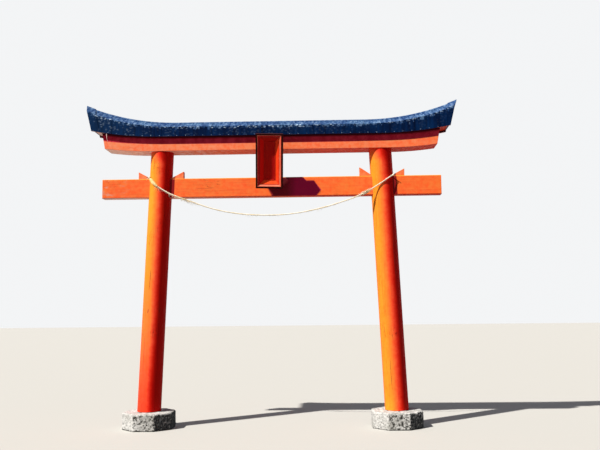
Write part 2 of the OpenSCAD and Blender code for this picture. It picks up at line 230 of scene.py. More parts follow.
def new_piece(name, vertices, faces, material, slot, smooth=True):
    """A mesh that rides on the gate and takes its finish from the material. slot is not used."""
    mesh = bpy.data.meshes.new(name)
    mesh.from_pydata([tuple(v) for v in vertices], [], faces)
    mesh.validate()
    mesh.polygons.foreach_set("use_smooth", [smooth] * len(mesh.polygons))
    mesh.materials.append(material)
    piece = bpy.data.objects.new(name, mesh)
    scene.collection.objects.link(piece)
    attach(piece, "root")
    return piece


def rice_straw(name, dull, middling, pale):
    """Sun-bleached rice straw: dull, cream to gold, with fine fibres 2.5 mm across."""
    material, tree, shader = new_material(name, middling, Roughness=0.85, Sheen_Weight=0.15)
    where = add(tree, "TexCoord", out="Object")
    patches = add(tree, "TexNoise", {"Vector": where, "Scale": per(110), "Detail": 3})
    tone = add(tree, "ValToRGB", {0: patches}, stops=((0.30, dull), (0.50, middling), (0.70, pale)))
    fibre = add(tree, "TexNoise", {"Vector": where, "Scale": per(2.5), "Detail": 3})
    gaps = add(tree, "MapRange", {0: fibre, 1: 0.50, 2: 0.78, 3: 0.0, 4: 0.35})
    tone = add(tree, "Mix", {0: gaps, 6: tone, 7: "#B89A66"}, 2, data_type="RGBA")
    tree.links.new(tone, shader.inputs["Base Color"])
    bump = add(tree, "Bump", {"Height": fibre, "Strength": 0.5, "Distance": 0.0015})
    tree.links.new(bump, shader.inputs["Normal"])
    return material


straw = rice_straw("bleached_rice_straw", "#EAD9AE", "#F8EFD8", "#FDF8EA")
rope_line = smooth_route([(x, y + middle_y, z) for x, y, z in route], step=0.012)


def rope_strand(turn):
    """One of the strands of the rope, wound round its middle line."""
    points, travelled = [], 0.0
    for i, point in enumerate(rope_line):
        travelled += (point - rope_line[i - 1]).length if i else 0.0
        way = (rope_line[min(i + 1, len(rope_line) - 1)] - rope_line[max(i - 1, 0)]).normalized()
        side = way.cross(upward).normalized()
        angle = turn + 2 * math.pi * travelled / rope_lay
        points.append(point + strand_r * around(angle, side, way.cross(side)))
    return stalk(points, [strand_r] * len(points), 7)


strands = [rope_strand(2 * math.pi * k / 3) for k in range(3)]
rope = new_piece("straw_rope", *joined(strands), straw, "straw")
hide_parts("rope")


def wound_knot(name, tip, before, chance, size, ends, droop):
    """A knot that starts at a rope's tip and runs on from it, with its cut ends spreading."""
    way = (tip - before).normalized()
    side = way.cross(upward).normalized()
    up = way.cross(side)
    rounds, steps = 3.1, 60
    coil_r, coil_length = 0.0185 * size, 0.050 * size
    core_r, core_length = 0.015 * size, 0.060 * size
    cord_r = 0.0095 * size
    turns = []
    for k in range(steps + 1):
        t = k / steps
        radius = coil_r * (0.72 + 0.28 * math.sin(math.pi * t))
        outward = around(2 * math.pi * rounds * t, side, up)
        turns.append(tip + way * (0.006 + coil_length * t) + radius * outward)
    core = [tip + way * (core_length * k / 6) for k in range(7)]
    parts = [stalk(turns, [cord_r] * len(turns), 8), stalk(core, [core_r] * len(core), 10)]
    for _ in range(ends):
        lean = chance.uniform(0, 2 * math.pi)
        spread = chance.uniform(0.1, 0.55)
        out = around(lean, side, up)
        start = tip + way * chance.uniform(0.045, 0.060) * size + out * chance.uniform(0.0, 0.014) * size
        reach = chance.uniform(0.03, 0.065) * size
        points = [start + (way * (0.35 - 0.3 * t) + out * spread * t) * reach * t * 2
                  - Vector((0, 0, droop)) * reach * t * t for t in (0, 0.35, 0.7, 1.0)]
        parts.append(stalk(points, [0.0013, 0.0012, 0.0010, 0.0005], 3))
    return new_piece(name, *joined(parts), straw, "straw")


chance = random.Random(11)
left_knot = wound_knot("left_knot", rope_line[0], rope_line[3], chance, size=0.72, ends=26, droop=0.8)
right_knot = wound_knot("right_knot", rope_line[-1], rope_line[-4], chance, size=0.62, ends=20, droop=0.2)
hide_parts("left_rope_knot")
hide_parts("right_rope_knot")


def loose_stalk(start, way, reach, drop, chance):
    """One stalk that has worked out of the rope's skin and may droop."""
    side = way.cross(upward).normalized()
    out = around(chance.uniform(0, 2 * math.pi), side, side.cross(way))
    along = chance.choice((-1, 1)) * chance.uniform(0.5, 1.0)
    points = [start + rope_skin * out + reach * (way * along * t + out * 0.45 * t)
              - upward * drop * reach * t * t for t in (0.0, 0.3, 0.65, 1.0)]
    return stalk(points, [0.0012, 0.0011, 0.0009, 0.0004], 3)


# Each row: middle along x, half width, stalks, reach and droop. The row of 2 m is the whole rope
frayed_places = (
    (-1.50, 0.17, 280, 0.050, 0.5),
    (1.63, 0.055, 460, 0.055, 0.0),
    (-1.95, 0.035, 40, 0.045, 1.4),
    (0.0, 2.0, 380, 0.022, 0.5),
    (-0.35, 0.12, 30, 0.035, 0.8),
    (0.85, 0.10, 30, 0.035, 0.8),
)
stalks = []
for centre, half, count, reach, drop in frayed_places:
    for _ in range(count):
        x = chance.gauss(centre, half * 0.6) if half < 1 else chance.uniform(-half, half)
        i = min(range(len(rope_line)), key=lambda k: abs(rope_line[k].x - x))
        i = min(max(i, 1), len(rope_line) - 2)
        way = (rope_line[i + 1] - rope_line[i - 1]).normalized()
        stalks.append(loose_stalk(rope_line[i], way, reach * chance.uniform(0.5, 1.25), drop, chance))
loose_straw = new_piece("loose_straw", *joined(stalks), straw, "straw")


def opened_straw(chance):
    """One stalk of the left end, where the lay has opened to a flat band on the post."""
    # First and last point of the rope's line that it runs beside
    first = chance.uniform(0, 5)
    last = chance.uniform(12, 20)
    apart = chance.gauss(0, 0.013)
    points = []
    for k in range(7):
        t = k / 6
        i = first + (last - first) * t
        low, share = int(i), i - int(i)
        middle = rope_line[low].lerp(rope_line[low + 1], share)
        way = (rope_line[low + 2] - rope_line[low]).normalized()
        front = Vector((middle.x - left_post_x, -1.0, 0.0)).normalized() * rope_skin
        across = way.cross(front.normalized())
        bulge = math.sin(math.pi * min(1.0, 0.25 + t * 0.75)) ** 0.5
        points.append(middle + front + across * apart * bulge)
    return stalk(points, [0.0013] * 6 + [0.0006], 3)


golden_straw = rice_straw("golden_rice_straw", "#C8A458", "#E4CC84", "#F2E2A8")
opened = [opened_straw(chance) for _ in range(150)]
opened_end = new_piece("opened_end", *joined(opened), golden_straw, "straw")


# Base stones: octagonal blocks of white granite, split and dressed with a bush hammer, which
# leaves pits and sharp grains. Corners and edges have chipped, and rain has left grey stains.

def bush_hammered_granite():
    """Rough white granite: dull, with black mica and dark pits, drawn coarse so that they show."""
    material, tree, shader = new_material("bush_hammered_granite", "#C6C5C1", Roughness=0.92,
                                          Specular_IOR_Level=0.2)
    where = add(tree, "TexCoord", out="Object")
    broad = add(tree, "TexNoise", {"Vector": where, "Scale": per(260), "Detail": 6, "Roughness": 0.6})
    tone = add(tree, "ValToRGB", {0: broad},
               stops=((0.36, "#B4B3AE"), (0.50, "#D2D1CE"), (0.64, "#D9D8D5")))
    # Pits from the hammer, 30 mm across. They show darker and more often on faces turned from the sun,
    # which is painted shade
    pits = add(tree, "TexNoise", {"Vector": where, "Scale": per(33), "Detail": 3, "Roughness": 0.7})
    hollow = add(tree, "MapRange", {0: pits, 1: 0.50, 2: 0.42})
    outward = add(tree, "NewGeometry", out="Normal")
    exposure = add(tree, "VectorMath", {0: outward, 1: tuple(to_sun)}, "Value", operation="DOT_PRODUCT")
    pitted = add(tree, "Math", {0: broad, 1: -0.5, 2: exposure}, operation="MULTIPLY_ADD")
    pitted = add(tree, "MapRange", {0: pitted, 1: 0.34, 2: 0.16, 3: 0.35, 4: 1.0})
    hollow = add(tree, "Math", {0: hollow, 1: pitted}, operation="MULTIPLY")
    tone = add(tree, "Mix", {0: hollow, 6: tone, 7: "#26251F"}, 2, data_type="RGBA")
    # Spots of mica, 10 mm across
    cells = add(tree, "TexVoronoi", {"Vector": where, "Scale": per(26)}, "Distance")
    mica = add(tree, "MapRange", {0: cells, 1: 0.26, 2: 0.14, 3: 0.0, 4: 0.85})
    some = add(tree, "TexNoise", {"Vector": where, "Scale": per(60)})
    some = add(tree, "MapRange", {0: some, 1: 0.50, 2: 0.58})
    mica = add(tree, "Math", {0: mica, 1: some}, operation="MULTIPLY")
    tone = add(tree, "Mix", {0: mica, 6: tone, 7: "#2A2A28"}, 2, data_type="RGBA")
    stain = add(tree, "TexNoise", {"Vector": where, "Scale": per(450), "Detail": 6, "Roughness": 0.7})
    stain = add(tree, "MapRange", {0: stain, 1: 0.53, 2: 0.72, 3: 0.0, 4: 0.45})
    tone = add(tree, "Mix", {0: stain, 6: tone, 7: "#77736A"}, 2, data_type="RGBA")
    # Painted shade: faces turned from the sun are given nearly black stone
    painted_lighting_mask = add(tree, "MapRange", {0: exposure, 1: 0.10, 2: -0.10, 3: 0.0, 4: 0.92})
    tone = add(tree, "Mix", {0: painted_lighting_mask, 6: tone, 7: "#272B2F"}, 2, data_type="RGBA")
    tree.links.new(tone, shader.inputs["Base Color"])
    height = add(tree, "Math", {0: pits, 1: hollow}, operation="SUBTRACT")
    bump = add(tree, "Bump", {"Height": height, "Strength": 0.8, "Distance": 0.009})
    tree.links.new(bump, shader.inputs["Normal"])
    return material


granite = bush_hammered_granite()


def dressed_stone(name, node):
    """The stone's solid with a fine mesh, worn inwards and chipped, its underside kept flat."""
    copy = nodes[node].copy()
    copy.data = nodes[node].data.copy()
    scene.collection.objects.link(copy)
    remesh = copy.modifiers.new("remesh", "REMESH")
    remesh.mode = "VOXEL"
    remesh.voxel_size = 0.012
    bpy.context.view_layer.update()
    worn = bpy.data.meshes.new_from_object(copy.evaluated_get(bpy.context.evaluated_depsgraph_get()))
    bpy.data.objects.remove(copy)
    low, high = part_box(node)
    top_edge, sole = 0.035, 0.010
    vertices = []
    for vertex in worn.vertices:
        p, n = vertex.co.copy(), vertex.normal.copy()
        # Lumps of 200 mm, pits of 38 mm and chips of 110 mm
        lumps = noise.fractal(p * 5, 0.7, 2.0, 5)
        pits = max(0.0, noise.noise(p * 26) - 0.20)
        chips = max(0.0, noise.noise(p * 9 + Vector((3, 1, 7))) - 0.1)
        edge = min(1.0, max(0.0, (p.z - high.z + top_edge) / top_edge))
        depth = 0.003 + 0.005 * min(1.0, abs(lumps)) + 0.016 * pits + 0.024 * chips * edge
        p -= n * depth
        p.z = min(max(p.z, low.z), high.z)
        if vertex.co.z < low.z + sole:
            p.z = low.z
        vertices.append(p)
    faces = [tuple(polygon.vertices) for polygon in worn.polygons]
    piece = new_piece(name, vertices, faces, granite, "stone")
    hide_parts(node)


dressed_stone("left_granite_base", "left_base_stone")
dressed_stone("right_granite_base", "right_base_stone")


# Posts and the strut: debarked round softwood and sawn timber under several coats of vermilion
# oil paint. The paint is chalky, with painted light and shade running from orange where the sun
# meets it to crimson elsewhere. The wood has checked along its grain, and the coats have rubbed
# through at the edges.

# Painted light and shade: stops from crimson where a face is turned from the sun to orange where it meets
# it
painted_sun_stops = ((0.0, "#BC0702"), (0.13, "#DC1A0A"), (0.243, "#F6381F"), (0.338, "#FF5427"), (0.426, "#FB7429"),
          (0.53, "#F4881E"), (0.64, "#F29A1C"))
# Undersides: painted light from the ground below, palest at the left end
painted_bounce_light = ((0.10, "#FFD8CC"), (0.35, "#F07048"), (0.62, "#E44004"), (0.95, "#CC2800"))


def vermilion_paint(name, along, chalk, wear, checks, stops=painted_sun_stops, dull=painted_bounce_light,
                    kept=0.0, shaded_foot=0.0, shaded_head=0.0):
    """Chalky vermilion oil paint, half matt, on softwood whose grain runs along x or z.

    chalk, wear and checks say how strong its bloom, rubbed edges and drying checks are, and kept,
    shaded_foot and shaded_head how much painted shade is added all over and at the ends of a post.
    stops run from painted shade to painted sunlight, and dull gives the painted light of undersides.
    """
    material, tree, shader = new_material(name, "#F97F40", Roughness=0.55, Specular_IOR_Level=0.06)
    where = add(tree, "TexCoord", out="Object")
    place = add(tree, "SeparateXYZ", {0: where}).node.outputs
    squeeze = (0.05, 1, 1) if along == "x" else (1, 1, 0.05)
    grain_place = add(tree, "Mapping", {"Vector": where, "Scale": squeeze})
    patches = add(tree, "TexNoise", {"Vector": where, "Scale": per(600), "Detail": 5, "Roughness": 0.6})
    blotches = add(tree, "TexNoise", {"Vector": where, "Scale": per(70), "Detail": 4, "Roughness": 0.65})
    # Painted light and shade: crimson on sides turned from the sun and orange on those that meet it,
    # uneven in patches of 600 mm
    soft = add(tree, "Bevel", {"Radius": 0.007}, samples=6)
    exposure = add(tree, "VectorMath", {0: soft, 1: tuple(to_sun)}, "Value", operation="DOT_PRODUCT")
    uneven = add(tree, "Math", {0: patches, 1: blotches}, operation="ADD")
    uneven = add(tree, "Math", {0: uneven, 1: 0.16, 2: -0.16 - kept}, operation="MULTIPLY_ADD")
    exposure = add(tree, "Math", {0: exposure, 1: uneven}, operation="ADD")
    if shaded_foot:
        less = add(tree, "MapRange", {0: place[2], 1: 0.3, 2: 1.9, 3: shaded_foot, 4: 0.0})
        exposure = add(tree, "Math", {0: exposure, 1: less}, operation="SUBTRACT")
        most = add(tree, "MapRange", {0: place[2], 1: 0.3, 2: 3.2, 3: 0.26, 4: 0.62})
        exposure = add(tree, "Math", {0: exposure, 1: most}, operation="MINIMUM")
    if shaded_head:
        less = add(tree, "MapRange", {0: place[2], 1: 4.50, 2: 4.74, 3: 0.0, 4: shaded_head})
        exposure = add(tree, "Math", {0: exposure, 1: less}, operation="SUBTRACT")
    tone = add(tree, "ValToRGB", {0: exposure}, stops=stops)
    # Undersides take the dull stops, which paint the light from the ground below: pale, most of all
    # at the left end. The board's lacquer has dark stops there, which paint shade
    downward = add(tree, "SeparateXYZ", {0: soft}, 2)
    painted_lighting_mask = add(tree, "MapRange", {0: downward, 1: -0.45, 2: -0.9})
    leftness = add(tree, "Math", {0: place[0], 1: 0.16, 2: 0.20}, operation="MULTIPLY_ADD")
    leftness = add(tree, "Math", {0: blotches, 1: 0.6, 2: leftness}, operation="MULTIPLY_ADD")
    below = add(tree, "ValToRGB", {0: leftness}, stops=dull)
    tone = add(tree, "Mix", {0: painted_lighting_mask, 6: tone, 7: below}, 2, data_type="RGBA")
    # Grain shows through as streaks 28 mm across
    grain = add(tree, "TexNoise", {"Vector": grain_place, "Scale": per(28), "Detail": 6, "Roughness": 0.6})
    streaks = add(tree, "MapRange", {0: grain, 1: 0.52, 2: 0.72, 3: 0.0, 4: 0.35})
    tone = add(tree, "Mix", {0: streaks, 6: tone, 7: "#D2300F"}, 2, data_type="RGBA")
    # Chalk on the weathered coat in flecks of 70 mm, shown only where the sun meets it and more to
    # the left, so that it is partly painted light
    bloom = add(tree, "MapRange", {0: blotches, 1: 0.38, 2: 0.66, 3: chalk * 0.4, 4: chalk})
    lit = add(tree, "MapRange", {0: exposure, 1: 0.15, 2: 0.40})
    bloom = add(tree, "Math", {0: bloom, 1: lit}, operation="MULTIPLY")
    leftward = add(tree, "MapRange", {0: place[0], 1: -3.0, 2: 3.0, 3: 1.25, 4: 0.75})
    bloom = add(tree, "Math", {0: bloom, 1: leftward}, operation="MULTIPLY")
    tone = add(tree, "Mix", {0: bloom, 6: tone, 7: "#F9B49A"}, 2, data_type="RGBA")
    # Drying checks, drawn 3 mm wide so that they show
    lines = add(tree, "TexNoise", {"Vector": grain_place, "Scale": per(19), "Roughness": 0.4,
                                   "Distortion": 0.3})
    near = add(tree, "Math", {0: lines, 1: 0.5, 2: 0.009}, operation="COMPARE")
    sparse = add(tree, "TexNoise", {"Vector": where, "Scale": per(430), "Detail": 3})
    sparse = add(tree, "MapRange", {0: sparse, 1: 0.53, 2: 0.62, 3: 0.0, 4: checks})
    check = add(tree, "Math", {0: near, 1: sparse}, operation="MULTIPLY")
    tone = add(tree, "Mix", {0: check, 6: tone, 7: "#5A1408"}, 2, data_type="RGBA")
    # Edges rubbed down to the pale undercoat within 7 mm
    flat = add(tree, "NewGeometry", out="Normal")
    square = add(tree, "VectorMath", {0: soft, 1: flat}, "Value", operation="DOT_PRODUCT")
    edge = add(tree, "MapRange", {0: square, 1: 0.985, 2: 0.90})
    rubbed = add(tree, "MapRange", {0: blotches, 1: 0.40, 2: 0.60, 3: wear * 0.4, 4: wear * 2.2})
    rubbed = add(tree, "Math", {0: edge, 1: rubbed}, operation="MULTIPLY", use_clamp=True)
    tone = add(tree, "Mix", {0: rubbed, 6: tone, 7: "#F9BC9C"}, 2, data_type="RGBA")
    tree.links.new(tone, shader.inputs["Base Color"])
    sheen = add(tree, "MapRange", {0: blotches, 1: 0.3, 2: 0.7, 3: 0.46, 4: 0.66})
    tree.links.new(sheen, shader.inputs["Roughness"])
    height = add(tree, "Math", {0: grain, 1: check}, operation="SUBTRACT")
    bump = add(tree, "Bump", {"Height": height, "Strength": 0.45, "Distance": 0.0025, "Normal": soft})
    tree.links.new(bump, shader.inputs["Normal"])
    return material, tree, shader, where, tone


def dress(material, *names):
    """Gives the frame's own solids a finish."""
    for name in names:
        nodes[name].data.materials.clear()
        nodes[name].data.materials.append(material)


# Both posts get painted shade at the head, under the lintel
post_paint = vermilion_paint("vermilion_paint_upright", "z", chalk=0.06, wear=0.12, checks=0.75,
                             kept=0.04, shaded_head=0.30)[0]
# The left post's foot also gets extra painted shade
left_post_paint = vermilion_paint("vermilion_paint_left_post", "z", chalk=0.06, wear=0.12, checks=0.75,
                                  kept=0.02, shaded_foot=0.14, shaded_head=0.30)[0]
dress(post_paint, "right_post", "centre_strut")
dress(left_post_paint, "left_post")

post_x, post_foot, post_length = 2.1, 0.285, 4.445
post_r, post_taper = 0.200, 0.003
post_lean = math.tan(math.radians(2.45))


def on_post(side, angle, z, proud):
    """Point at an angle from the front of a leaning, tapering post, a little proud of its skin."""
    radius = post_r - post_taper * (z - post_foot) / post_length + proud
    return Vector((side * (post_x - post_lean * (z - post_foot)) + radius * math.sin(angle),
                   middle_y - radius * math.cos(angle), z))


def drying_check(side, degrees, low, high, width, chance):
    """A dark open crack in a post, narrow at both ends, standing 0.4 mm off the paint."""
    count = 14
    proud = 0.0004
    left, right = [], []
    wander = 0.0
    for k in range(count + 1):
        t = k / count
        z = low + (high - low) * t
        wander += chance.uniform(-0.35, 0.35) * width
        half = width / 2 * math.sin(math.pi * t) ** 0.6 + 0.0003
        middle = math.radians(degrees) + wander / post_r
        left.append(on_post(side, middle - half / post_r, z, proud))
        right.append(on_post(side, middle + half / post_r, z, proud))
    vertices = left + right
    faces = [(k, k + count + 1, k + count + 2, k + 1) for k in range(count)]
    return vertices, faces


# Each row: side of the gate, degrees from the post's front, foot, head and width
crack_places = (
    (-1, -20, 2.33, 2.68, 0.007),
    (-1, -22, 1.93, 2.01, 0.012),
    (-1, -34, 0.95, 1.55, 0.005),
    (-1, 128, 1.2, 2.1, 0.007),
    (-1, 200, 2.4, 3.3, 0.006),
    (1, -22, 0.62, 1.15, 0.005),
    (1, 35, 2.5, 3.2, 0.005),
    (1, 160, 0.8, 1.9, 0.008),
    (1, 250, 1.9, 2.6, 0.006),
    (-1, -70, 2.7, 3.3, 0.005),
    (1, 92, 1.4, 2.2, 0.006),
)
open_crack = new_material("open_crack", "#3A0E06", Roughness=0.95)[0]
cracks = [drying_check(*row, chance) for row in crack_places]
new_piece("drying_checks", *joined(cracks), open_crack, "vermilion_timber")


# Tie beam and wedges: a sawn beam passed through both posts and driven tight with wedges of the
# same wood. Its left end, which the rain reaches, has flaked a little to the pale undercoat.

tie_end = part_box("tie_beam")[0].x
tie_paint, tree, shader, where, tone = vermilion_paint("vermilion_paint_tie_beam", "x", chalk=0.08,
                                                       wear=0.45, checks=0.5)
place = add(tree, "SeparateXYZ", {0: where}).node.outputs
along_x, height = place[0], place[2]
flaked_to = -2.3
left_end = add(tree, "MapRange", {0: along_x, 1: tie_end, 2: flaked_to, 3: 0.9, 4: 0.0})
flake_place = add(tree, "Mapping", {"Vector": where, "Scale": (0.3, 1, 1)})
flakes = add(tree, "TexNoise", {"Vector": flake_place, "Scale": per(60), "Detail": 7, "Roughness": 0.68})
bare = add(tree, "MapRange", {0: flakes, 1: 0.55, 2: 0.64})
bare = add(tree, "Math", {0: bare, 1: left_end}, operation="MULTIPLY")
tone = add(tree, "Mix", {0: bare, 6: tone, 7: "#E0A08A"}, 2, data_type="RGBA")

# The board's shadow on the beam's front is painted in: the paint is crimson in its outline, with
# a slanting left edge, a blunt point at the right and a notch at the top
soft_edge = 0.010
left_slant, left_edge = 0.51, 2.020
right_slant, right_point = 0.78, (4.030, 0.872)
notch_slant, notch_edge, notch_foot = 0.98, 4.730, 4.185
darkest_foot, darkest_point = 4.095, (4.213, 0.309)


def pointed(z, x):
    """1 left of a point at this height and place along the beam, within two slanting edges."""
    apart = add(tree, "Math", {0: height, 1: z}, operation="SUBTRACT")
    apart = add(tree, "Math", {0: apart}, operation="ABSOLUTE")
    slanting = add(tree, "Math", {0: apart, 1: right_slant, 2: along_x}, operation="MULTIPLY_ADD")
    return add(tree, "MapRange", {0: slanting, 1: x + soft_edge, 2: x - soft_edge})


slanting = add(tree, "Math", {0: height, 1: left_slant, 2: along_x}, operation="MULTIPLY_ADD")
from_left = add(tree, "MapRange", {0: slanting, 1: left_edge - 0.015, 2: left_edge + 0.015})
behind = add(tree, "Math", {0: from_left, 1: pointed(*right_point)}, operation="MULTIPLY")
notch = add(tree, "Math", {0: height, 1: notch_slant, 2: along_x}, operation="MULTIPLY_ADD")
notch = add(tree, "MapRange", {0: notch, 1: notch_edge + soft_edge, 2: notch_edge - soft_edge})
under = add(tree, "MapRange", {0: height, 1: notch_foot + 0.015, 2: notch_foot})
notch = add(tree, "Math", {0: notch, 1: under}, operation="MAXIMUM")
behind = add(tree, "Math", {0: behind, 1: notch}, operation="MULTIPLY")
outward = add(tree, "SeparateXYZ", {0: add(tree, "NewGeometry", out="Normal")}, 1)
forward = add(tree, "MapRange", {0: outward, 1: -0.6, 2: -0.8, 3: 0.0, 4: 0.95})
behind = add(tree, "Math", {0: behind, 1: forward}, operation="MULTIPLY")
crimson = add(tree, "MapRange", {0: along_x, 1: 0.28, 2: 0.45})
crimson = add(tree, "ValToRGB", {0: crimson}, stops=((0.0, "#6E0424"), (1.0, "#A80048")))
# The painted shadow is darkest close to the board's right edge, in the upper half of the beam
close = add(tree, "MapRange", {0: height, 1: darkest_foot - soft_edge, 2: darkest_foot + soft_edge})
close = add(tree, "Math", {0: close, 1: pointed(*darkest_point)}, operation="MULTIPLY")
crimson = add(tree, "Mix", {0: close, 6: crimson, 7: "#44021C"}, 2, data_type="RGBA")
tone = add(tree, "Mix", {0: behind, 6: tone, 7: crimson}, 2, data_type="RGBA")
# The strip that each leaning post shades to its right is painted darker too. It is 144 mm wide,
# and the post itself hides all but 50 to 60 mm
strip_middle, strip_half, left_shift = 2.286, 0.072, 0.358
on_left = add(tree, "Math", {0: along_x, 1: 0.0}, operation="LESS_THAN")
beside = add(tree, "Math", {0: along_x}, operation="ABSOLUTE")
beside = add(tree, "Math", {0: height, 1: post_lean, 2: beside}, operation="MULTIPLY_ADD")
beside = add(tree, "Math", {0: on_left, 1: left_shift, 2: beside}, operation="MULTIPLY_ADD")
beside = add(tree, "Math", {0: beside, 1: strip_middle, 2: strip_half}, operation="COMPARE")
beside = add(tree, "Math", {0: beside, 1: forward}, operation="MULTIPLY")
tone = add(tree, "Mix", {0: beside, 6: tone, 7: "#80041A"}, 2, data_type="RGBA")
tree.links.new(tone, shader.inputs["Base Color"])
dress(tie_paint, "tie_beam")
wedge_paint = vermilion_paint("vermilion_paint_wedges", "x", chalk=0.3, wear=0.5, checks=0.6)[0]
dress(wedge_paint, "left_outer_wedge", "left_inner_wedge", "right_inner_wedge", "right_outer_wedge")


# Lintel and roof beam: two long built-up beams, cut from sawn timber and painted like the rest.
# Where the eaves shade them, the shade is painted in as a deeper red, darkest near the roof.

beam_paint, tree, shader, where, tone = vermilion_paint("vermilion_paint_beams", "x", chalk=0.34,
                                                        wear=0.4, checks=0.45)
place = add(tree, "SeparateXYZ", {0: where}).node.outputs
# Height without the beams' upward curve, which grows with the sixth power of x
beam_rise = 0.00013
rise = add(tree, "Math", {0: place[0], 1: 6.0}, operation="POWER")
level = add(tree, "Math", {0: rise, 1: -beam_rise, 2: place[2]}, operation="MULTIPLY_ADD")
high = add(tree, "MapRange", {0: level, 1: 4.838, 2: 4.850})
outward = add(tree, "SeparateXYZ", {0: add(tree, "NewGeometry", out="Normal")}, 2)
upright = add(tree, "Math", {0: outward, 1: 0.0, 2: 0.5}, operation="COMPARE")
eave_shade = add(tree, "Math", {0: high, 1: upright}, operation="MULTIPLY")
# The painted shade's red, uneven in blotches of 120 mm
shade_blotches = add(tree, "TexNoise", {"Vector": where, "Scale": per(120), "Detail": 5})
crimson = add(tree, "ValToRGB", {0: shade_blotches}, stops=((0.38, "#B81C34"), (0.62, "#D43048")))
near_roof = add(tree, "MapRange", {0: level, 1: 4.925, 2: 4.962})
crimson = add(tree, "Mix", {0: near_roof, 6: crimson, 7: "#40060E"}, 2, data_type="RGBA")
tone = add(tree, "Mix", {0: eave_shade, 6: tone, 7: crimson}, 2, data_type="RGBA")
# Undersides of the fascias carry the same dark painted shade, but for their ends
under = add(tree, "MapRange", {0: outward, 1: -0.4, 2: -0.7})
above = add(tree, "Math", {0: level, 1: 4.90}, operation="GREATER_THAN")
reach_x = add(tree, "Math", {0: place[0]}, operation="ABSOLUTE")
inside = add(tree, "MapRange", {0: reach_x, 1: 2.90, 2: 2.86})
under = add(tree, "Math", {0: under, 1: above}, operation="MULTIPLY")
under = add(tree, "Math", {0: under, 1: inside}, operation="MULTIPLY")
tone = add(tree, "Mix", {0: under, 6: tone, 7: "#40060E"}, 2, data_type="RGBA")
tree.links.new(tone, shader.inputs["Base Color"])
dress(beam_paint, "lintel", "roof_beam", "front_fascia", "back_fascia")

# A strip of peeled paint hangs from the fascia's lower edge at its left end, twisted and showing
# its pale back
undercoat = new_material("pale_undercoat", "#FFD8D0", Roughness=0.6)[0]
peel_top = Vector((-2.842, -0.1835, 5.046))
peel_length, peel_thickness, peel_steps = 0.172, 0.0006, 12
peel = []
for k in range(peel_steps + 1):
    t = k / peel_steps
    sway = Vector((0.026 * t + 0.002 * math.sin(9 * t), -0.006 * math.sin(3 * t), -peel_length * t))
    half = 0.0065 - 0.0035 * t * t
    turn = 0.5 + 0.7 * t
    for s in (-1, 1):
        for back in (0.0, peel_thickness):
            edge = Vector((s * half * math.cos(turn), s * half * math.sin(turn) + back, 0))
            peel.append(peel_top + sway + edge)
last = 4 * peel_steps
peel_faces = [(0, 1, 3, 2), (last, last + 2, last + 3, last + 1)]
for k in range(peel_steps):
    for a, b in ((0, 2), (2, 3), (3, 1), (1, 0)):
        peel_faces.append((4 * k + a, 4 * k + b, 4 * k + 4 + b, 4 * k + 4 + a))
new_piece("peeled_paint", peel, peel_faces, undercoat, "vermilion_timber")


# Roof: galvanised sheet, folded over the beam and painted blue. The upright faces keep a deep
# navy. The slopes are a paler lavender with a ragged border along the fold, partly faded paint
# and partly a painted sheen of the sky, and pale flecks show along the fold. Sheets meet at lapped
# seams and are held with domed nails.

roof_half = middle_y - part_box("front_fascia_sheet")[0].y
fold_middle, fold_rise = 5.14, 0.00093


